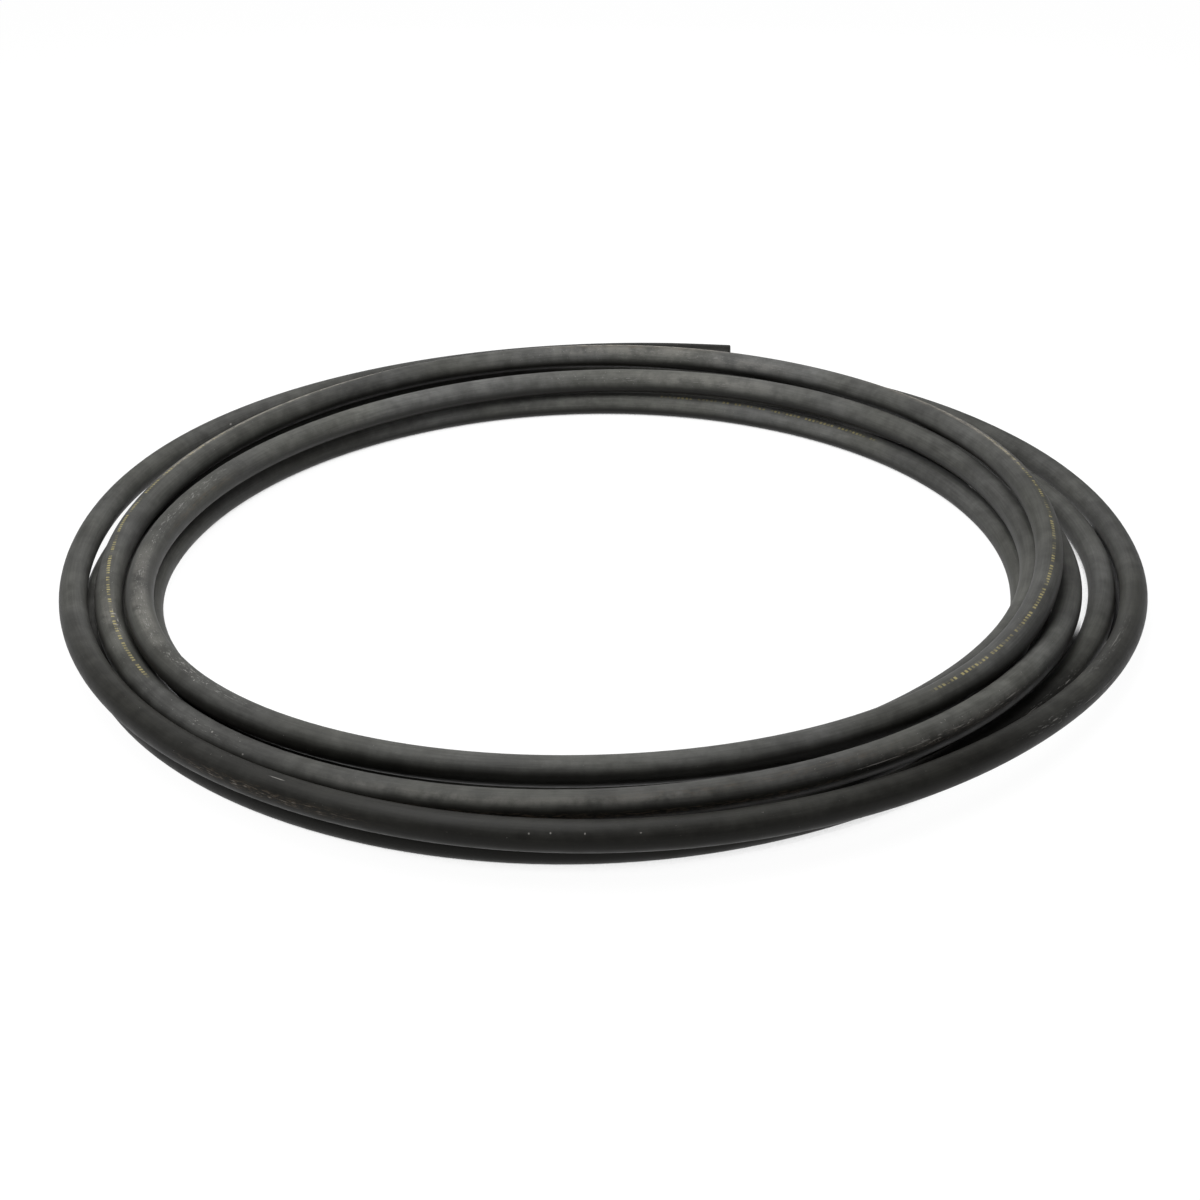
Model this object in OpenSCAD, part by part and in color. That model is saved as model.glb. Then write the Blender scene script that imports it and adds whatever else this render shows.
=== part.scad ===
// A garden hose of smooth black rubber, wound by hand into a loose coil and laid on the ground.
// The hose has three layers bonded one on the other: an inner tube, a textile reinforcement and a cover.
// It is one unbroken length with two plain cut ends. No fitting, tie or cap is on it.
// Origin: the middle of the coil's outline, on the ground. X runs to the right, Y to the back, Z up.
// The first end lies outermost at the back, on the ground, and the last end lies under the turns there.

/* [Hose] */

// outer diameter of the hose
hose_od = 22; // [16:0.5:40]
// diameter of the bore
hose_bore = 13; // [8:0.5:30]
// share of the wall that is the inner tube
tube_share = 0.45; // [0.35:0.01:0.55]
// share of the wall that is the textile reinforcement
textile_share = 0.2; // [0.1:0.01:0.3]

/* [Coil] */

// radius of the lane that the others are counted from
coil_radius = 395; // [260:1:700]
// space left between two lanes, and between two levels
lane_gap = 0.9; // [0.6:0.1:6]
// length of the straight stretch at each end, in hose diameters
end_length = 1.4; // [1:0.1:4]
// rings of the tube in one turn
rings_a_turn = 20; // [16:2:24]

/* [View] */

// piece to show

/* [Hidden] */

// six corners in each ring, with a flat side below
sides = 6;
// the bore is round in the ends, and along the turns its six corners lie just inside that round
bore_inside = 0.98;
cover_r = hose_od / 2;
bore_r = hose_bore / 2;
wall = cover_r - bore_r;
tube_r = bore_r + wall * tube_share;
textile_r = tube_r + wall * textile_share;
end_run = hose_od * end_length;

// one lane, or one level, to the next
pitch = hose_od + lane_gap;
// the hose is pressed flat on the ground by a tenth of its diameter
ground_z = hose_od * 0.4;

// The coil is told by eight posts in each turn, 45 degrees apart and counted from the back, anticlockwise
// as seen from above. Each row below is one turn, from post to post: back, back left, left, front left,
// front, front right, right, back right. A lane is a step outward, and a level is a step up.
post_angle = 45;
first_post = 45;
turns = 6;
start_angle = 78;

// where the turns lie, in lanes out from coil_radius
lane = concat(
    [ 5.3],
    [ 3.1,  2.9,  1.2,  2.7,  3.1,  1.3,  1.9,  2.5],
    [ 1.5,  0.0,  0.7,  2.2,  1.9, -0.1,  1.1,  0.3],
    [-0.1, -1.3, -0.3,  1.1,  1.0, -1.5, -2.3, -2.4],
    [-2.4, -2.4, -1.5,  0.7, -1.7, -1.5, -1.9, -2.5],
    [-2.4, -2.9, -1.8,  1.6, -0.7, -0.5, -1.8, -1.7],
    [ 0.9, -0.2,  0.0,  1.7,  2.1,  0.0, -0.9, -0.5],
    [-1.2, -7.0]
);

// how high the turns lie, in levels above the ground; below it counts as on it
level = concat(
    [0.0],
    [0.0, 0.0, 0.8, 1.1, 1.2, 0.9, -0.2, 0.1],
    [0.0, 0.0, 0.0, 0.0, 0.0, 0.0, 0.0, 0.0],
    [0.0, 0.0, 0.0, 0.0, 0.0, 0.0, 0.0, 0.0],
    [0.0, 0.0, 0.2, 0.9, -0.2, 1.2, 1.0, 1.3],
    [1.0, 1.0, 1.4, 1.7, 1.3, 1.5, 2.4, 1.7],
    [1.0, 1.0, 1.0, 0.8, 1.7, 1.3, 0.3, 0.3],
    [-0.2, -0.2]
);

// smooth curve near the posts: a uniform cubic B-spline
function weights(f) = [
    pow(1 - f, 3),
    3 * pow(f, 3) - 6 * pow(f, 2) + 4,
    -3 * pow(f, 3) + 3 * pow(f, 2) + 3 * f + 1,
    pow(f, 3)
] / 6;
function posts(list, n) = [for (k = [-1:2]) list[min(max(n + k, 0), len(list) - 1)]];
function along(angle) = (angle - first_post) / post_angle;
function smooth(list, u) = weights(u - floor(u)) * posts(list, floor(u));

// middle line of the hose, and the way that it runs
function out(angle) = coil_radius + pitch * smooth(lane, along(angle));
function up(angle) = ground_z + pitch * max(smooth(level, along(angle)), 0);
function middle(angle) = [out(angle) * cos(angle), out(angle) * sin(angle), up(angle)];
function unit(v) = v / norm(v);
function heading(angle, rise) =
    let (d = middle(angle + 1) - middle(angle - 1))
    unit([d.x, d.y, d.z * rise]);

ring_count = turns * rings_a_turn;
ring_step = 360 / rings_a_turn;
end_angle = start_angle + turns * 360;
ring_angles = [for (i = [0:ring_count]) start_angle + i * ring_step];
centres = [for (a = ring_angles) middle(a)];
headings = [for (i = [0:ring_count]) heading(ring_angles[i], i == 0 || i == ring_count ? 0 : 1)];

// the straight ends: the way out of the bore, and the middle of the cut face
first_way = -headings[0];
last_way = headings[ring_count];
first_end = centres[0] + end_run * first_way;
last_end = centres[ring_count] + end_run * last_way;

// the whole middle line, from one cut face to the other
line = concat([first_end], centres, [last_end]);
ways = concat([headings[0]], headings, [headings[ring_count]]);
last = len(line) - 1;

// one ring of corners round the middle line, never below the ground
function ring(i, r) =
    let (
        side = unit(cross(ways[i], [0, 0, 1])),
        top = cross(side, ways[i])
    )
    [
        for (k = [0:sides - 1])
            let (
                turn = k * 360 / sides,
                p = line[i] + r * (cos(turn) * side + sin(turn) * top)
            )
            [p.x, p.y, max(p.z, 0)]
    ];

// outline of the whole coil, seen from above
outline = [for (i = [0:last]) each ring(i, cover_r)];
low = [for (k = [0:1]) min([for (p = outline) p[k]])];
high = [for (k = [0:1]) max([for (p = outline) p[k]])];
origin = [(low.x + high.x) / 2, (low.y + high.y) / 2, 0];

// one layer of the wall along the whole hose, between two radii
module layer(r_out, r_in) {
    points = [for (i = [0:last]) each concat(ring(i, r_out), ring(i, r_in))];
    function outer(i, k) = i * 2 * sides + k % sides;
    function inner(i, k) = outer(i, k) + sides;
    along_it = [
        for (i = [0:last - 1])
            for (k = [0:sides - 1])
                each [
                    [outer(i, k), outer(i + 1, k + 1), outer(i + 1, k)],
                    [outer(i, k), outer(i, k + 1), outer(i + 1, k + 1)],
                    [inner(i, k), inner(i + 1, k), inner(i + 1, k + 1)],
                    [inner(i, k), inner(i + 1, k + 1), inner(i, k + 1)]
                ]
    ];
    cut_faces = [
        for (k = [0:sides - 1])
            each [
                [outer(0, k), inner(0, k + 1), outer(0, k + 1)],
                [outer(0, k), inner(0, k), inner(0, k + 1)],
                [outer(last, k), outer(last, k + 1), inner(last, k + 1)],
                [outer(last, k), inner(last, k + 1), inner(last, k)]
            ]
    ];
    translate(-origin)
        polyhedron(points = points, faces = concat(along_it, cut_faces));
}

// the round bore of one straight end, open at the cut face
module end_bore(face, way) {
    translate(face - origin)
        rotate([0, 0, atan2(way.y, way.x)])
            rotate([0, 90, 0])
                translate([0, 0, -end_run])
                    cylinder(r = bore_r, h = end_run + 1, $fn = 48);
}

module outer_cover() {
    color("#262624")
        layer(cover_r, textile_r);
}

module textile_reinforcement() {
    color("#b9b19a")
        layer(textile_r, tube_r);
}

module inner_tube() {
    color("#1b1b1b")
        difference() {
            layer(tube_r, bore_r * bore_inside);
            end_bore(first_end, first_way);
            end_bore(last_end, last_way);
        }
}

// least space that the hose keeps to itself, from points on each stretch to the stretches of other turns
function to_stretch(p, a, b) =
    let (f = min(max((p - a) * (b - a) / ((b - a) * (b - a)), 0), 1))
    norm(p - a - f * (b - a));
least_gap = min([
    for (i = [0:last - 1])
        for (f = [0:0.25:0.75])
            let (p = line[i] * (1 - f) + line[i + 1] * f)
            for (t = [1:turns])
                for (k = [-2:2])
                    let (j = i + t * rings_a_turn + k)
                    if (j > i + 4 && j < last)
                        to_stretch(p, line[j], line[j + 1])
]) - hose_od;
function sum_of(list) = list * [for (x = list) 1];
hose_length = 2 * end_run + sum_of([for (a = [start_angle:3:end_angle - 3]) norm(middle(a + 3) - middle(a))]);

echo("least gap of the hose to itself", least_gap);
echo("length of the hose along its middle", hose_length);
echo("coil size", high - low);
echo("first end", first_end - origin, "way out", first_way);
echo("last end", last_end - origin, "way out", last_way);

outer_cover();
textile_reinforcement();
inner_tube();
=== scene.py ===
import math

import bpy
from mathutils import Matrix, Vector


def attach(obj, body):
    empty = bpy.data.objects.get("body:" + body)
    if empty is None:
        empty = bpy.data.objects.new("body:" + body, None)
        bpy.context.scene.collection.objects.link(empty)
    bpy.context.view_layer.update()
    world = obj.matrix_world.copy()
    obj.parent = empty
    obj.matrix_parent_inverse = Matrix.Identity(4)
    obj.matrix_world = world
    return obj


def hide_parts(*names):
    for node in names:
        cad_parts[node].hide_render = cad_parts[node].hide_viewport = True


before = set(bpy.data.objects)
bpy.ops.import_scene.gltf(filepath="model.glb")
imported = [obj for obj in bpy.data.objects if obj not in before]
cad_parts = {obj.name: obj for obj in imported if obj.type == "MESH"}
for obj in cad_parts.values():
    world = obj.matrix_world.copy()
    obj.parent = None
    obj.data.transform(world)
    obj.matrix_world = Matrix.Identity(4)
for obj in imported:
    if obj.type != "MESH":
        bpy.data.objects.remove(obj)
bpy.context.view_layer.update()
scene = bpy.context.scene


# ---------------------------------------------------------------- the hose's sizes, in metres

COVER_R = 0.011
BORE_R = 0.0065
WALL = COVER_R - BORE_R
# shares of the wall
TUBE_SHARE = 0.45
TEXTILE_SHARE = 0.2
TUBE_R = BORE_R + WALL * TUBE_SHARE
TEXTILE_R = TUBE_R + WALL * TEXTILE_SHARE
# the two inner layers are this much thinner outside, so that no two faces lie in one place
LAYER_GAP = 0.00008
# the straight stretch at each end, in hose diameters
END_LENGTH = 1.4
END_RUN = 2 * COVER_R * END_LENGTH
# lanes are counted outward from this radius, and levels up from the ground, both a pitch apart
COIL_RADIUS = 0.395
LANE_GAP = 0.0009
PITCH = 2 * COVER_R + LANE_GAP
GROUND_Z = COVER_R

# The coil is told by posts, 45 degrees apart and anticlockwise. After the first post, each row is one
# turn: back, back left, left, front left, front, front right, right, back right. These are its lanes.
LANE = [
    5.3,
    3.1, 2.9, 1.2, 2.7, 3.1, 1.3, 1.9, 2.5,
    1.5, 0.0, 0.7, 2.2, 1.9, -0.1, 1.1, 0.3,
    -0.1, -1.3, -0.3, 1.1, 1.0, -1.5, -2.3, -2.4,
    -2.4, -2.4, -1.5, 0.7, -1.7, -1.5, -1.9, -2.5,
    -2.4, -2.9, -1.8, 1.6, -0.7, -0.5, -1.8, -1.7,
    0.9, -0.2, 0.0, 1.7, 2.1, 0.0, -0.9, -0.5,
    -1.2, -7.0,
]
# and these its levels, where below 0 counts as on the ground
LEVEL = [
    0.0,
    0.0, 0.0, 0.8, 1.1, 1.2, 0.9, -0.2, 0.1,
    0.0, 0.0, 0.0, 0.0, 0.0, 0.0, 0.0, 0.0,
    0.0, 0.0, 0.0, 0.0, 0.0, 0.0, 0.0, 0.0,
    0.0, 0.0, 0.2, 0.9, -0.2, 1.2, 1.0, 1.3,
    1.0, 1.0, 1.4, 1.7, 1.3, 1.5, 2.4, 1.7,
    1.0, 1.0, 1.0, 0.8, 1.7, 1.3, 0.3, 0.3,
    -0.2, -0.2,
]
POST_ANGLE = 45
FIRST_POST = 45
START_ANGLE = 78
TURNS = 6
END_ANGLE = START_ANGLE + 360 * TURNS
# the middle of the coil's outline, which is the origin
MIDDLE = Vector((0.002657, 0.009629, 0))

# rings in a turn of the cover's outer skin, and of every skin inside it, with the corners of a ring
RINGS_A_TURN = 192
INNER_RINGS_A_TURN = 96
SIDES = 32
# where rings stand in the straight ends, in from the cut face
RUN_IN = [0.004, 0.012, 0.022]
# rings at the outer edge of a cut face: how far in from it, and how much narrower than the skin
RIM = 0.0009
ROUNDED_EDGE = [(0.0, RIM), (0.3 * RIM, 0.29 * RIM), (RIM, 0.0)]
SHARP_EDGE = [(0.0, 0.0)]


def smooth(posts, angle):
    """The uniform cubic B-spline near the posts, at an angle."""
    u = (angle - FIRST_POST) / POST_ANGLE
    n = math.floor(u)
    f = u - n
    weights = [(1 - f) ** 3, 3 * f**3 - 6 * f**2 + 4, -3 * f**3 + 3 * f**2 + 3 * f + 1, f**3]
    near = [posts[min(max(n + k, 0), len(posts) - 1)] for k in (-1, 0, 1, 2)]
    return sum(w * p for w, p in zip(weights, near)) / 6


def middle_line(angle):
    radius = COIL_RADIUS + PITCH * smooth(LANE, angle)
    height = GROUND_Z + PITCH * max(smooth(LEVEL, angle), 0)
    a = math.radians(angle)
    return Vector((radius * math.cos(a), radius * math.sin(a), height)) - MIDDLE


def heading(angle, rise=1):
    """The way that the hose runs, which is level where rise is 0."""
    way = middle_line(angle + 1) - middle_line(angle - 1)
    way.z *= rise
    return way.normalized()


FIRST_WAY = -heading(START_ANGLE, 0)
LAST_WAY = heading(END_ANGLE, 0)
FIRST_END = middle_line(START_ANGLE) + END_RUN * FIRST_WAY
LAST_END = middle_line(END_ANGLE) + END_RUN * LAST_WAY


def stations(rings_a_turn, run_ins):
    """Places along the hose: (angle, centre, way). run_ins are distances in from a cut face."""
    first = [(START_ANGLE, FIRST_END - d * FIRST_WAY, -FIRST_WAY) for d in run_ins]
    last = [(END_ANGLE, LAST_END - d * LAST_WAY, LAST_WAY) for d in reversed(run_ins)]
    count = TURNS * rings_a_turn
    turns = []
    for i in range(count + 1):
        angle = START_ANGLE + i * (360 / rings_a_turn)
        rise = 0 if i in (0, count) else 1
        turns.append((angle, middle_line(angle), heading(angle, rise)))
    return first + turns + last


def metres_at(angle):
    """How far along the hose an angle is, from the first cut face."""
    step = 360 / RINGS_A_TURN
    steps = math.floor((angle - START_ANGLE) / step)
    angles = [START_ANGLE + i * step for i in range(steps + 1)] + [angle]
    return END_RUN + sum((middle_line(b) - middle_line(a)).length for a, b in zip(angles, angles[1:]))


def circle(centre, way, radius):
    """Points round the hose. The first faces outward from the coil, and the next ones go up from it."""
    side = way.cross(Vector((0, 0, 1))).normalized()
    top = side.cross(way)
    angles = [2 * math.pi * k / SIDES for k in range(SIDES)]
    return [centre + radius * (math.cos(a) * side + math.sin(a) * top) for a in angles]


# ---------------------------------------------------------------- camera

ELEVATION = math.radians(27.70)
LOOK = Vector((-0.0073, -0.0688, 0))
DISTANCE = 1.7231

camera_data = bpy.data.cameras.new("camera")
camera_data.lens = 62.84
camera_data.sensor_width = 36
camera_data.clip_start = 0.05
camera_data.clip_end = 60
camera = bpy.data.objects.new("camera", camera_data)
camera.location = LOOK + DISTANCE * Vector((0, -math.cos(ELEVATION), math.sin(ELEVATION)))
camera.rotation_euler = (math.pi / 2 - ELEVATION, 0, 0)
scene.collection.objects.link(camera)
scene.camera = camera


# ---------------------------------------------------------------- where the marks lie on the cover

# Each mark is a patch of the skin: from and to along the coil, in degrees that count on through its
# turns, from and to round the hose, in degrees from its outward side over its top, and a strength.
PATCHES = {
    "powder": [
        (1876, 1897, 100, 150, 0.6),
        (1862, 1874, 125, 178, 0.4),
        (1500, 1526, 110, 165, 0.35),
        (1632, 1656, 62, 122, 0.45),
        (1932, 1962, 62, 88, 0.6),
        (2000, 2008, 60, 120, 0.55),
        (2046, 2078, 36, 64, 0.4),
        (1806, 1846, 66, 92, 0.45),
        (2098, 2118, 10, 44, 0.35),
    ],
    "scuff": [
        (1634, 1672, 76, 112, 0.9),
        (1606, 1634, 96, 124, 0.9),
        (1928, 1962, 70, 92, 0.9),
        (1816, 1842, 72, 92, 0.9),
        (2001, 2008, 92, 125, 0.9),
        (2027, 2034, 50, 72, 0.7),
        (234, 247, -4, 14, 0.9),
        (2098, 2118, 12, 36, 0.9),
        (313, 319, 14, 50, 0.9),
        (326, 340, 84, 112, 0.5),
        (676, 690, 36, 62, 0.7),
        (1862, 1890, 124, 166, 0.5),
        (1506, 1530, 140, 164, 0.6),
    ],
    "earth": [
        (1876, 1897, 84, 108, 1.0),
        (1812, 1846, 70, 96, 0.6),
        (233, 248, -8, 22, 0.9),
        (2050, 2092, -22, 4, 0.7),
        (2098, 2118, 6, 30, 0.5),
        (1604, 1624, 140, 158, 0.7),
        (2070, 2098, 44, 76, 0.3),
        (1650, 1680, 150, 170, 0.5),
    ],
    "speck": [
        (1630, 1672, 60, 130, 0.8),
        (1985, 2035, 40, 120, 0.5),
        (1860, 1905, 100, 180, 0.7),
        (1505, 1545, 100, 180, 0.6),
        (2088, 2130, 0, 80, 0.5),
        (1600, 1640, 60, 120, 0.7),
        (1130, 1180, 120, 180, 0.4),
    ],
}
# how far a patch fades on either side of its edges, in degrees along the coil and round the hose
FADE_ALONG = 5
FADE_AROUND = 9
# Single scratches: the angle along the coil, the angle round the hose, and half the length and half the
# width in millimetres, with a strength.
SCRATCHES = [
    (686.8, 44, 6.0, 0.55, 0.6),
    (679.0, 51, 9.0, 0.4, 0.5),
    (2114.9, 27, 9.0, 0.6, 0.55),
    (2105.8, 28, 8.0, 0.45, 0.4),
    (2100.2, 30, 13.0, 0.35, 0.35),
    (2095.4, 16, 24.0, 0.4, 0.6),
    (322.9, 15, 15.0, 0.45, 0.5),
    (327.5, 10, 22.0, 0.3, 0.45),
    (312.4, -25, 12.0, 0.4, 0.45),
    (316.0, 34, 5.0, 0.6, 0.5),
    (334.5, 101, 20.0, 0.35, 0.35),
    (241.6, 79, 9.0, 0.4, 0.5),
    (144.0, 150, 1.6, 1.0, 0.7),
    (2035.9, 34, 1.0, 1.0, 0.55),
    (2031.3, 62, 0.9, 0.9, 0.55),
    (2003.2, 103, 1.6, 2.6, 0.6),
    (2004.7, 114, 3.4, 0.7, 0.6),
    (2005.8, 102, 1.0, 2.2, 0.5),
    (263.8, 38, 0.7, 0.9, 0.5),
    (265.5, 43, 0.7, 1.0, 0.6),
    (268.2, 42, 0.7, 1.0, 0.6),
    (272.6, 41, 0.8, 0.6, 0.4),
]
# how much dust lies on stretches that took less or more of it, with painted shade and light in the same
# share: the low front stretches under the turns above are painted darker as shade, and the shares above 1
# are partly painted light: from and to along the coil, and the share
DUST_AND_PAINTED_LIGHT = [
    (60, 104, 0.0),
    # these low front stretches are painted darker, as shade under the turns above them
    (210, 288, 0.15),
    (288, 318, 0.0),
    (318, 350, 0.6),
    (560, 690, 0.05),
    # the shares above 1 from here on are partly painted light
    (700, 730, 1.3),
    (1120, 1215, 2.0),
    (1480, 1590, 1.6),
    (1690, 1730, 1.3),
    (1850, 1905, 1.8),
    (2112, 2160, 1.5),
]
DUST_AND_LIGHT_FADE = 14
# how far the dustiest side, which is also painted lightest, leans inward from the top, in radians
DUST_AND_LIGHT_LEAN = 0.31
# The line of dashes: places round the hose at places along the coil, and the stretches that show it. Chalk
# is rubbed along the same line, and the same pale stripe is also a painted highlight along the rim.
PRINT_LINE = [
    (400, 96), (450, 100), (520, 104), (800, 98), (900, 96), (1100, 107), (1121, 110), (1135, 114),
    (1150, 112), (1165, 115), (1200, 115), (1500, 90), (1740, 75), (1752, 79), (1775, 77), (1800, 74),
    (1808, 79), (1816, 84), (1830, 80), (1845, 72), (1860, 72), (1872, 82), (1898, 82), (1925, 76),
    (1960, 80), (1974, 76), (1980, 73), (1988, 85), (2001, 98), (2018, 94), (2100, 100),
]
PRINT_SHOWS = [(452, 500), (800, 860), (1121, 1160), (1747.5, 1820), (1952, 2018)]
PRINT_FADE = 0.5
# the stretches with chalk, which is also a painted rim highlight
CHALK_AND_HIGHLIGHT_SHOWS = [(1872, 1898), (1810, 1846), (1922, 1966)]
# metres from dash to dash, and how many make a group, whose last one is left out
DASH_STEP = 0.0042
DASHES_A_GROUP = 9


# ---------------------------------------------------------------- materials

# rubber, clean and under its grey bloom, each from one tone to another; the bloom is also painted light on
# the tops
CLEAN = (0.0135, 0.0130, 0.0112, 1), (0.0205, 0.0200, 0.0172, 1)
BLOOM_AND_PAINTED_LIGHT = (0.1515, 0.1520, 0.1465, 1), (0.1505, 0.1515, 0.1380, 1)
# what lies on the cover
EARTH_BROWN = (0.13, 0.098, 0.068, 1)
POWDER_GREY = (0.235, 0.225, 0.205, 1)
SCUFF_GREY = (0.30, 0.295, 0.28, 1)
SPECK_GREY = (0.36, 0.35, 0.33, 1)
SCRATCH_GREY = (0.42, 0.405, 0.38, 1)
PRINT_YELLOW = (0.40, 0.345, 0.15, 1)
# pale chalk, which is also a painted highlight along the top rim
CHALK_AND_HIGHLIGHT_PALE = (0.34, 0.315, 0.265, 1)
# the inner tube and the textile, each from one tone to another
TUBE_BLACK = (0.014, 0.014, 0.014, 1), (0.028, 0.028, 0.027, 1)
YARN = (0.20, 0.175, 0.125, 1), (0.62, 0.57, 0.45, 1)


def material(name):
    m = bpy.data.materials.new(name)
    m.use_nodes = True
    m.node_tree.nodes.clear()
    return m


class Nodes:
    """Short calls to put shader nodes in a material or a world and link them."""

    def __init__(self, owner):
        self.tree = owner.node_tree

    def add(self, kind, inputs=(), **settings):
        node = self.tree.nodes.new(kind)
        for key, value in settings.items():
            setattr(node, key, value)
        for key, value in dict(inputs).items():
            if isinstance(value, bpy.types.NodeSocket):
                self.tree.links.new(value, node.inputs[key])
            else:
                node.inputs[key].default_value = value
        return node

    def math(self, operation, a, b=0.0, clamp=False):
        return self.add("ShaderNodeMath", {0: a, 1: b}, operation=operation, use_clamp=clamp).outputs[0]

    def times(self, *factors):
        product = factors[0]
        for factor in factors[1:]:
            product = self.math("MULTIPLY", product, factor)
        return product

    def ramp(self, value, low, high, to_low=0.0, to_high=1.0):
        """A smooth step from to_low, where the value is low, to to_high."""
        limits = {0: value, 1: low, 2: high, 3: to_low, 4: to_high}
        return self.add("ShaderNodeMapRange", limits, interpolation_type="SMOOTHSTEP").outputs[0]

    def vector(self, x, y, z):
        return self.add("ShaderNodeCombineXYZ", {0: x, 1: y, 2: z}).outputs[0]

    def noise(self, place, scale, detail=3.0, roughness=0.5):
        inputs = {"Vector": place, "Scale": scale, "Detail": detail, "Roughness": roughness}
        return self.add("ShaderNodeTexNoise", inputs).outputs["Fac"]

    def attribute(self, name):
        return self.add("ShaderNodeAttribute", attribute_name=name).outputs["Fac"]

    def mix(self, factor, a, b):
        return self.add("ShaderNodeMix", {0: factor, 6: a, 7: b}, data_type="RGBA").outputs[2]

    def laid_over(self, body, share, strength, colour):
        """The body's colour with another one laid over a share of it, at a strength."""
        return self.mix(self.math("MULTIPLY", share, strength), body, colour)

    def bump(self, height, strength, distance, under=None):
        node = self.add("ShaderNodeBump", {"Height": height, "Strength": strength, "Distance": distance})
        if under is not None:
            self.tree.links.new(under, node.inputs["Normal"])
        return node.outputs[0]

    def rays(self, *kinds):
        """1 for light rays of any of these kinds, and 0 for others."""
        path = self.add("ShaderNodeLightPath")
        found = path.outputs[kinds[0]]
        for kind in kinds[1:]:
            found = self.math("ADD", found, path.outputs[kind], clamp=True)
        return found

    def finish(self, shader, kind="ShaderNodeOutputMaterial"):
        self.add(kind, {"Surface": shader.outputs[0]})

    def finish_plain(self, colour, roughness, normal, specular=0.5):
        inputs = {
            "Base Color": colour,
            "Roughness": roughness,
            "Normal": normal,
            "Specular IOR Level": specular,
        }
        self.finish(self.add("ShaderNodeBsdfPrincipled", inputs))


def hose_skin(n, radius):
    """Metres along the hose and round it, a place on the skin in metres, and the same place squeezed
    lengthwise, much for what the die drew along the hose, and less for scuffs."""
    uv = n.add("ShaderNodeUVMap", uv_map="hose").outputs[0]
    split = n.add("ShaderNodeSeparateXYZ", {0: uv})
    turn = n.math("MULTIPLY", split.outputs[0], 2 * math.pi)
    along = split.outputs[1]
    x = n.math("MULTIPLY", n.math("COSINE", turn), radius)
    y = n.math("MULTIPLY", n.math("SINE", turn), radius)
    skin = n.vector(x, y, along)
    lines = n.vector(x, y, n.math("MULTIPLY", along, 0.035))
    streaky = n.vector(x, y, n.math("MULTIPLY", along, 0.16))
    return along, n.math("MULTIPLY", turn, radius), skin, lines, streaky


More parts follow.
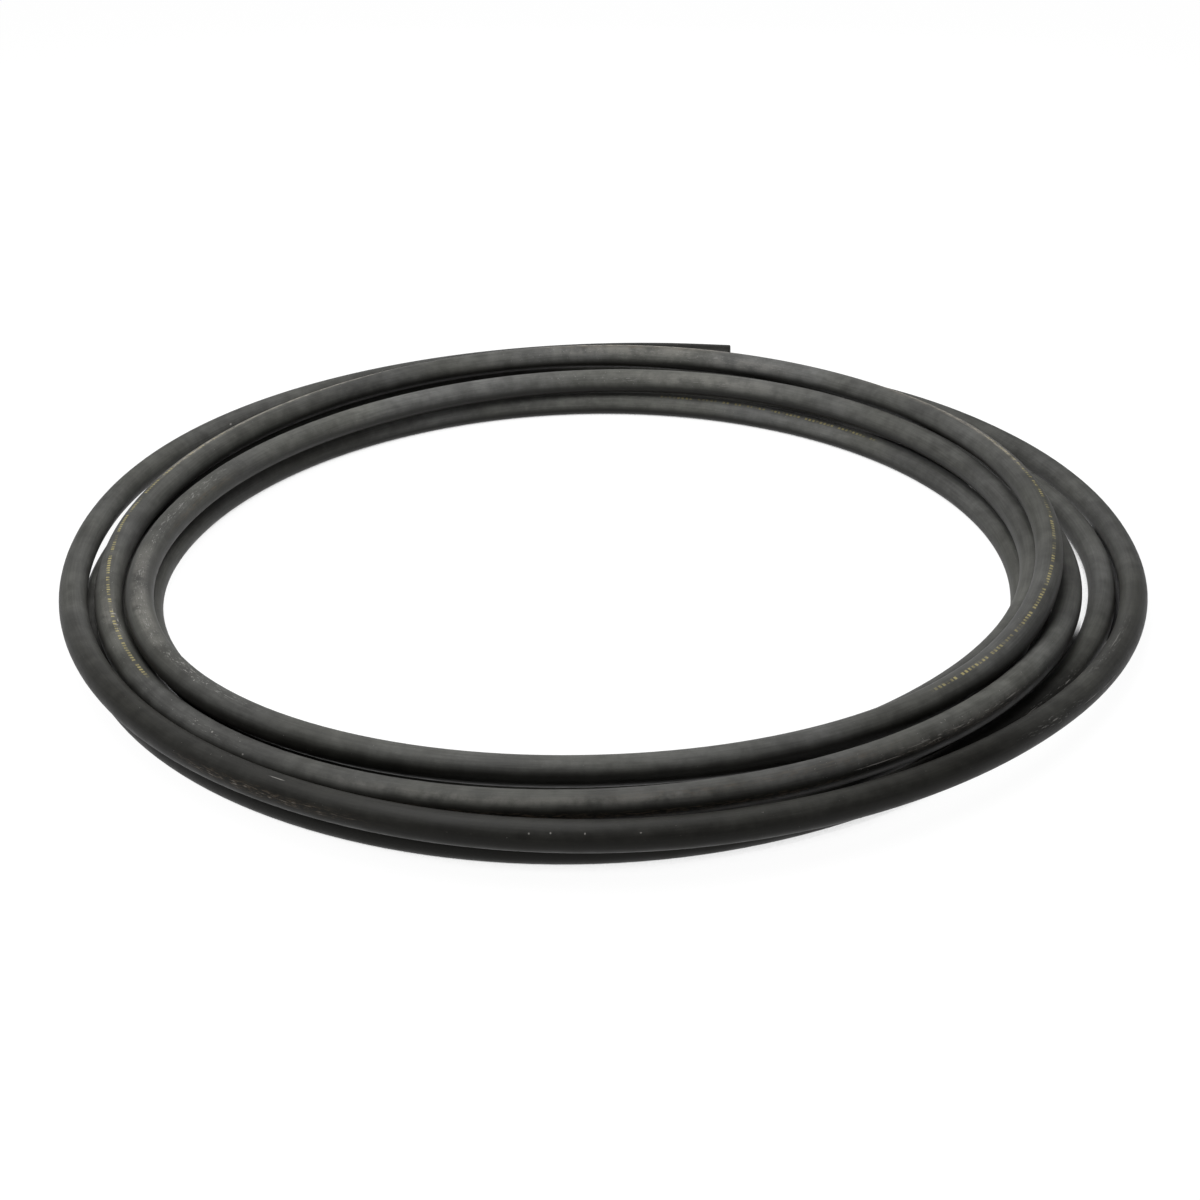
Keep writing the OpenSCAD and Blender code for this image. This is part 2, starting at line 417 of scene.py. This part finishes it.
class CoverNodes(Nodes):
    """The noises and masks of the cover, and the layers of its colour, which are laid on in turn."""

    def __init__(self, owner):
        super().__init__(owner)
        self.along, self.around, self.skin, lines, streaky = hose_skin(self, COVER_R)
        self.blotch = self.noise(self.skin, 62, 5, 0.62)
        self.grain = self.noise(self.skin, 1500, 3, 0.6)
        self.drawn = self.noise(lines, 700, 3, 0.6)
        self.streak = self.noise(streaky, 900, 3, 0.65)

        # dust lies on what faces up, in blotches and in wide clouds, and the same mask paints the tops
        # lighter and the sides darker, as painted light and shade
        lean = self.math("SUBTRACT", self.math("DIVIDE", self.around, COVER_R), DUST_AND_LIGHT_LEAN)
        facing = self.ramp(self.math("SINE", lean), -0.18, 0.56)
        patchy = self.ramp(self.blotch, 0.3, 0.72, 0.6, 1.0)
        cloudy = self.ramp(self.noise(self.skin, 7, 3), 0.35, 0.65, 0.7, 1.0)
        self.dust_and_painted_light = self.times(facing, patchy, cloudy, self.attribute("dust_and_painted_light"))
        powdery = self.ramp(self.grain, 0.3, 0.6, 0.6, 1.0)
        self.powder = self.times(self.attribute("powder"), self.ramp(self.blotch, 0.3, 0.62), powdery)
        self.scuff = self.times(self.attribute("scuff"), self.ramp(self.streak, 0.56, 0.68))

    def bloomed_and_lit(self):
        """Clean rubber with its grey bloom, which is partly painted light on the tops and painted shade on
        the sides, and the fine lines that the die drew along it.
        """
        clean = self.mix(self.ramp(self.blotch, 0.35, 0.7), *CLEAN)
        bloom_and_light = self.mix(self.ramp(self.noise(self.skin, 5, 2), 0.4, 0.6), *BLOOM_AND_PAINTED_LIGHT)
        body = self.laid_over(clean, self.dust_and_painted_light, 0.6, bloom_and_light)
        fine = self.ramp(self.drawn, 0.3, 0.7, 0.88, 1.1)
        lined = {0: body, 1: self.vector(fine, fine, fine)}
        return self.add("ShaderNodeVectorMath", lined, operation="MULTIPLY").outputs[0]

    def soiled(self, body):
        """Earth, chalky powder and scuffs where the patches put them, and specks that crowd there."""
        earth = self.times(self.attribute("earth"), self.ramp(self.streak, 0.44, 0.66))
        body = self.laid_over(body, earth, 0.8, EARTH_BROWN)
        body = self.laid_over(body, self.powder, 0.75, POWDER_GREY)
        body = self.laid_over(body, self.scuff, 0.85, SCUFF_GREY)
        # a speck is where the noise is above a level, which is lower where they crowd
        fleck = self.noise(self.skin, 620, 2, 0.7)
        crowd = self.math("ADD", self.math("MULTIPLY", self.attribute("speck"), 0.11), 0.022)
        above = self.math("SUBTRACT", fleck, self.math("SUBTRACT", 0.775, crowd))
        return self.laid_over(body, self.math("MULTIPLY", above, 26.0, clamp=True), 0.7, SPECK_GREY)

    def scratched(self, body):
        """The single scratches, each an ellipse with a frayed edge."""
        for angle, turned, half_length, half_width, strength in SCRATCHES:
            off_along = self.math("ABSOLUTE", self.math("SUBTRACT", self.along, metres_at(angle)))
            place_around = math.radians(turned % 360) * COVER_R
            off_around = self.math("ABSOLUTE", self.math("SUBTRACT", self.around, place_around))
            off_along = self.math("DIVIDE", off_along, half_length / 1000)
            off_around = self.math("DIVIDE", off_around, half_width / 1000)
            off = self.math("ADD", self.times(off_along, off_along), self.times(off_around, off_around))
            off = self.math("ADD", off, self.math("MULTIPLY", self.streak, 1.8))
            body = self.mix(self.ramp(off, 0.9, 1.9, strength, 0.0), body, SCRATCH_GREY)
        return body

    def printed(self, body):
        """The worn line of dashes, and pale chalk rubbed along it, which is partly a painted highlight on
        the rim.
        """
        across = self.math("ABSOLUTE", self.attribute("print_mm"))
        strip = self.ramp(across, 1.1, 1.5, 1.0, 0.0)
        step = self.math("FRACT", self.math("DIVIDE", self.along, DASH_STEP))
        dash = self.times(self.ramp(step, 0.0, 0.1), self.ramp(step, 0.56, 0.66, 1.0, 0.0))
        group = self.math("FRACT", self.math("DIVIDE", self.along, DASH_STEP * DASHES_A_GROUP))
        stops = self.ramp(group, 1 - 1.3 / DASHES_A_GROUP, 1 - 1.2 / DASHES_A_GROUP, 1.0, 0.0)
        rubbed = self.ramp(self.noise(self.skin, 130, 3), 0.38, 0.60, 0.10, 1.0)
        worn = self.times(rubbed, self.ramp(self.grain, 0.3, 0.6, 0.55, 1.0))
        paint = self.times(strip, self.times(dash, stops), worn, self.attribute("print_on"))
        body = self.laid_over(body, paint, 0.8, PRINT_YELLOW)
        near = self.ramp(across, 0.3, 3.0, 1.0, 0.0)
        # chalk, partly a painted rim highlight along the top edge
        chalk_and_rim_highlight = self.times(near, self.ramp(self.streak, 0.38, 0.60), self.attribute("chalk_and_highlight_on"))
        return self.laid_over(body, chalk_and_rim_highlight, 0.75, CHALK_AND_HIGHLIGHT_PALE)

    def dullness(self):
        """The roughness, which is higher under dust, powder and scuffs."""
        powdered = self.math("MULTIPLY", self.powder, 0.3)
        dull = self.math("ADD", self.math("MULTIPLY", self.dust_and_painted_light, 0.10), powdered)
        dull = self.math("ADD", dull, self.ramp(self.blotch, 0.3, 0.7, 0.44, 0.54))
        return self.math("ADD", dull, self.math("MULTIPLY", self.scuff, 0.2), clamp=True)

    def relief(self):
        """The normal of a skin with grain, drawn lines and soft dents."""
        grained = self.bump(self.grain, 0.22, 0.00012)
        lined = self.bump(self.drawn, 0.30, 0.00012, under=grained)
        return self.bump(self.blotch, 0.35, 0.0008, under=lined)


def make_cover_rubber():
    m = material("cover_rubber")
    n = CoverNodes(m)
    body = n.printed(n.scratched(n.soiled(n.bloomed_and_lit())))
    n.finish_plain(body, n.dullness(), n.relief(), specular=0.15)
    return m


def make_tube_rubber():
    m = material("tube_rubber")
    n = Nodes(m)
    skin, lines = hose_skin(n, BORE_R)[2:4]
    grain = n.noise(skin, 1400, 3)
    drawn = n.noise(lines, 900, 3)
    body = n.mix(n.noise(skin, 90, 3), *TUBE_BLACK)
    relief = n.bump(drawn, 0.3, 0.0001, under=n.bump(grain, 0.3, 0.0001))
    n.finish_plain(body, n.ramp(grain, 0.3, 0.7, 0.45, 0.65), relief)
    return m


def make_textile_cord():
    m = material("textile_cord")
    n = Nodes(m)
    place = n.add("ShaderNodeTexCoord").outputs["Object"]
    fibre = n.noise(place, 2600, 3, 0.7)
    yarn = n.noise(place, 900, 2)
    tone = n.math("MULTIPLY", fibre, n.ramp(yarn, 0.35, 0.65, 0.55, 1.0))
    body = n.mix(tone, *YARN)
    n.finish_plain(body, n.ramp(fibre, 0.2, 0.8, 0.8, 0.95), n.bump(fibre, 0.6, 0.0002))
    return m


cover_rubber = make_cover_rubber()
tube_rubber = make_tube_rubber()
textile_cord = make_textile_cord()


# ---------------------------------------------------------------- marks written on the cover

def rise(x, low, high):
    t = min(max((x - low) / (high - low), 0), 1)
    return t * t * (3 - 2 * t)


def window(x, low, high, fade):
    """1 between low and high, and 0 beyond them, with a fade on both sides of each."""
    return rise(x, low - fade, low + fade) * (1 - rise(x, high - fade, high + fade))


def patch_strength(marks, angle, around):
    most = 0.0
    for a0, a1, r0, r1, strength in marks:
        if a0 - FADE_ALONG < angle < a1 + FADE_ALONG:
            inside = window(angle, a0, a1, FADE_ALONG) * window(around, r0, r1, FADE_AROUND)
            most = max(most, strength * inside)
    return most


def print_place(angle):
    """How far round the hose the line of dashes is, in degrees."""
    for (a0, r0), (a1, r1) in zip(PRINT_LINE, PRINT_LINE[1:]):
        if a0 <= angle <= a1:
            return r0 + (r1 - r0) * rise(angle, a0, a1)
    return PRINT_LINE[0][1] if angle < PRINT_LINE[0][0] else PRINT_LINE[-1][1]


def mark_cover(mesh, places):
    """Writes the marks' strengths on the points of the cover's outer skin, painted light and shade among
    them.
    """
    keys = "dust_and_painted_light", *PATCHES, "print_mm", "print_on", "chalk_and_highlight_on"
    values = {key: [0.0] * len(mesh.vertices) for key in keys}
    for i, (angle, _, _) in enumerate(places):
        # the dust share, which also carries painted shade and light along the stretches
        dust_and_painted_light = math.prod(1 + (share - 1) * window(angle, a0, a1, DUST_AND_LIGHT_FADE) for a0, a1, share in DUST_AND_PAINTED_LIGHT)
        shows = max(window(angle, a0, a1, PRINT_FADE) for a0, a1 in PRINT_SHOWS)
        # where the chalk and the painted rim highlight show
        chalky_and_lit_rim = max(window(angle, a0, a1, FADE_ALONG) for a0, a1 in CHALK_AND_HIGHLIGHT_SHOWS)
        line = print_place(angle)
        for k in range(SIDES):
            point = i * SIDES + k
            around = 360 * k / SIDES
            if around > 270:
                around -= 360
            for key, marks in PATCHES.items():
                values[key][point] = patch_strength(marks, angle, around)
            values["dust_and_painted_light"][point] = dust_and_painted_light
            values["print_mm"][point] = math.radians(around - line) * COVER_R * 1000
            values["print_on"][point] = shows
            values["chalk_and_highlight_on"][point] = chalky_and_lit_rim
    for key, numbers in values.items():
        layer = mesh.attributes.new(key, "FLOAT", "POINT")
        layer.data.foreach_set("value", numbers)


# ---------------------------------------------------------------- the hose

def add_rings(vertices, radius, places, narrower):
    """Adds a ring of points at each place, and gives how far along the hose each ring is. narrower says
    by how much the rings next to a cut face are, from the face inward."""
    run = 0.0
    runs = []
    for i, (_, centre, way) in enumerate(places):
        if i:
            run += (centre - places[i - 1][1]).length
        from_face = min(i, len(places) - 1 - i)
        less = narrower[from_face] if from_face < len(narrower) else 0
        vertices.extend(circle(centre, way, radius - less))
        runs.append(run)
    return runs


def add_skin(faces, uvs, first, runs, outward):
    """Adds the faces from ring to ring, with their place on the skin: turns round it and metres along."""
    for i, (v0, v1) in enumerate(zip(runs, runs[1:])):
        for k in range(SIDES):
            a = first + i * SIDES + k
            b = first + i * SIDES + (k + 1) % SIDES
            face = [a, b, b + SIDES, a + SIDES]
            u0, u1 = k / SIDES, (k + 1) / SIDES
            where = [(u0, v0), (u1, v0), (u1, v1), (u0, v1)]
            if outward:
                face.reverse()
                where.reverse()
            faces.append(face)
            uvs.append(where)


def tube(name, outer, inner, mat, rings_a_turn=INNER_RINGS_A_TURN, edge=SHARP_EDGE):
    """A closed layer of the hose's wall, between two radii, from one cut face to the other."""
    vertices, faces, uvs = [], [], []
    outer_places = stations(rings_a_turn, [run_in for run_in, _ in edge] + RUN_IN)
    inner_places = stations(INNER_RINGS_A_TURN, [0.0] + RUN_IN)
    outer_runs = add_rings(vertices, outer, outer_places, [less for _, less in edge])
    inside = len(vertices)
    inner_runs = add_rings(vertices, inner, inner_places, [])
    add_skin(faces, uvs, 0, outer_runs, True)
    add_skin(faces, uvs, inside, inner_runs, False)

    # the two cut faces, each a ring of quads from the outer skin to the inner one
    last_out = inside - SIDES
    last_in = len(vertices) - SIDES
    depth = outer - inner
    end = outer_runs[-1]
    for k in range(SIDES):
        beside = (k + 1) % SIDES
        u0, u1 = k / SIDES, (k + 1) / SIDES
        faces.append([k, beside, inside + beside, inside + k])
        uvs.append([(u0, 0), (u1, 0), (u1, -depth), (u0, -depth)])
        faces.append([last_out + beside, last_out + k, last_in + k, last_in + beside])
        uvs.append([(u1, end), (u0, end), (u0, end + depth), (u1, end + depth)])

    mesh = bpy.data.meshes.new(name)
    mesh.from_pydata([tuple(v) for v in vertices], [], faces)
    layer = mesh.uv_layers.new(name="hose")
    layer.data.foreach_set("uv", [c for face in uvs for corner in face for c in corner])
    # the skins are smooth, and the cut faces, which come last, stay flat with sharp edges
    cut_faces = 2 * SIDES
    mesh.polygons.foreach_set("use_smooth", [i < len(faces) - cut_faces for i in range(len(faces))])
    mesh.materials.append(mat)
    mesh.update()
    obj = bpy.data.objects.new(name, mesh)
    scene.collection.objects.link(obj)
    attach(obj, "root")
    return obj, outer_places


hose_cover, cover_places = tube(
    "hose_cover", COVER_R, TEXTILE_R, cover_rubber, rings_a_turn=RINGS_A_TURN, edge=ROUNDED_EDGE
)
mark_cover(hose_cover.data, cover_places)
hose_textile, _ = tube("hose_textile", TEXTILE_R - LAYER_GAP, TUBE_R, textile_cord)
hose_tube, _ = tube("hose_tube", TUBE_R - LAYER_GAP, BORE_R, tube_rubber)
for obj, node, slot in (
    (hose_cover, "outer_cover", "cover_rubber"),
    (hose_textile, "textile_reinforcement", "textile_cord"),
    (hose_tube, "inner_tube", "tube_rubber"),
):
    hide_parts(node)

path = [centre for _, centre, _ in stations(INNER_RINGS_A_TURN, [0.0] + RUN_IN)]


# ---------------------------------------------------------------- ground, backdrop and light

FLOOR_SIZE = 30
# just under the hose
FLOOR_Z = -0.0002
WHITE = (1, 1, 1, 1)
# what the floor gives back of the lamps' light, to the eye and to the hose
PALE_SHINE = (0.10, 0.10, 0.10, 1)
BOUNCE_GREY = (0.30, 0.30, 0.30, 1)
# how near the turns must be for the floor's painted shade
CROWD_REACH = 0.06
# how strongly the white surroundings light the hose, where the eye sees them at 1
SKY_LIGHT = 0.23
# Places between and under the turns that lie in deep shadow: from and to round the coil, in degrees, from
# and to outward, in metres, and how softly the shadow fades round the coil, in degrees, and inward, in
# metres.
SHADES = [
    (-20, 9, 0.4175, 0.4335, 1, 0.001),
    (-66, -17, 0.3800, 0.3960, 3, 0.020),
    (-28, -11, 0.3610, 0.3715, 1, 0.008),
    (25, 50, 0.3660, 0.3790, 1, 0.001),
    (-162, -131, 0.3935, 0.4200, 6, 0.028),
]
# how sharply every shadow ends outward, in metres
SHADE_EDGE = 0.001


def in_shade(n):
    """1 on the ground in those places, and 0 elsewhere."""
    place = n.add("ShaderNodeSeparateXYZ", {0: n.add("ShaderNodeTexCoord").outputs["Object"]})
    x, y = place.outputs[0], place.outputs[1]
    outward = n.math("SQRT", n.math("ADD", n.times(x, x), n.times(y, y)))
    angle = n.math("DEGREES", n.math("ARCTAN2", y, x))
    inside = 0.0
    for a0, a1, r0, r1, fade, fade_in in SHADES:
        box = n.times(
            n.ramp(angle, a0 - fade, a0 + fade),
            n.ramp(angle, a1 - fade, a1 + fade, 1.0, 0.0),
            n.ramp(outward, r0 - fade_in, r0 + SHADE_EDGE),
            n.ramp(outward, r1 - SHADE_EDGE, r1, 1.0, 0.0),
        )
        inside = n.math("MAXIMUM", inside, box)
    return inside


def make_floor_paint():
    """White to the eye, with painted shade where the turns crowd over it, and a matt grey to the hose."""
    m = material("floor_paint")
    n = Nodes(m)
    open_sky = n.add("ShaderNodeAmbientOcclusion", {"Distance": CROWD_REACH}, samples=12).outputs["AO"]
    # painted shadow: the floor's white is turned down by occlusion and in the listed places
    shade = n.math("MULTIPLY", in_shade(n), n.ramp(open_sky, 0.30, 0.55, 1.0, 0.0))
    white_level = n.times(n.ramp(open_sky, 0.03, 0.12, 0.0, 0.96), n.math("SUBTRACT", 1.0, shade))
    white = n.add("ShaderNodeEmission", {"Color": WHITE, "Strength": white_level})
    pale = n.add("ShaderNodeBsdfDiffuse", {"Color": PALE_SHINE})
    seen = n.add("ShaderNodeAddShader", {0: white.outputs[0], 1: pale.outputs[0]})
    matt = n.add("ShaderNodeBsdfDiffuse", {"Color": BOUNCE_GREY})
    to_the_eye = n.rays("Is Camera Ray", "Is Transmission Ray", "Is Glossy Ray")
    n.finish(n.add("ShaderNodeMixShader", {0: to_the_eye, 1: matt.outputs[0], 2: seen.outputs[0]}))
    return m


def make_floor():
    mesh = bpy.data.meshes.new("floor")
    h = FLOOR_SIZE / 2
    corners = [(-h, -h, FLOOR_Z), (h, -h, FLOOR_Z), (h, h, FLOOR_Z), (-h, h, FLOOR_Z)]
    mesh.from_pydata(corners, [], [(0, 1, 2, 3)])
    mesh.materials.append(make_floor_paint())
    obj = bpy.data.objects.new("floor", mesh)
    scene.collection.objects.link(obj)
    return obj


floor = make_floor()


def make_world():
    """White surroundings to the eye, and a dull even sky to the hose."""
    world = bpy.data.worlds.new("world")
    world.use_nodes = True
    world.node_tree.nodes.clear()
    n = Nodes(world)
    strength = n.ramp(n.rays("Is Camera Ray", "Is Transmission Ray"), 0.0, 1.0, SKY_LIGHT, 1.0)
    sky = n.add("ShaderNodeBackground", {"Color": WHITE, "Strength": strength})
    n.finish(sky, "ShaderNodeOutputWorld")
    return world


scene.world = make_world()


def softbox(name, place, side, power):
    """A square lamp that points at the middle of the coil. The power is in watts."""
    data = bpy.data.lights.new(name, "AREA")
    data.shape = "SQUARE"
    data.size = side
    data.energy = power
    obj = bpy.data.objects.new(name, data)
    obj.location = place
    way = Vector((0, 0, 0)) - Vector(place)
    obj.rotation_euler = way.to_track_quat("-Z", "Y").to_euler()
    scene.collection.objects.link(obj)


softbox("key", (-0.8, -0.7, 2.15), 1.6, 23)
softbox("top", (-0.15, 0, 1.05), 0.9, 9.5)
softbox("back", (0, 1.7, 0.8), 1.2, 3.5)

scene.view_settings.view_transform = "Standard"
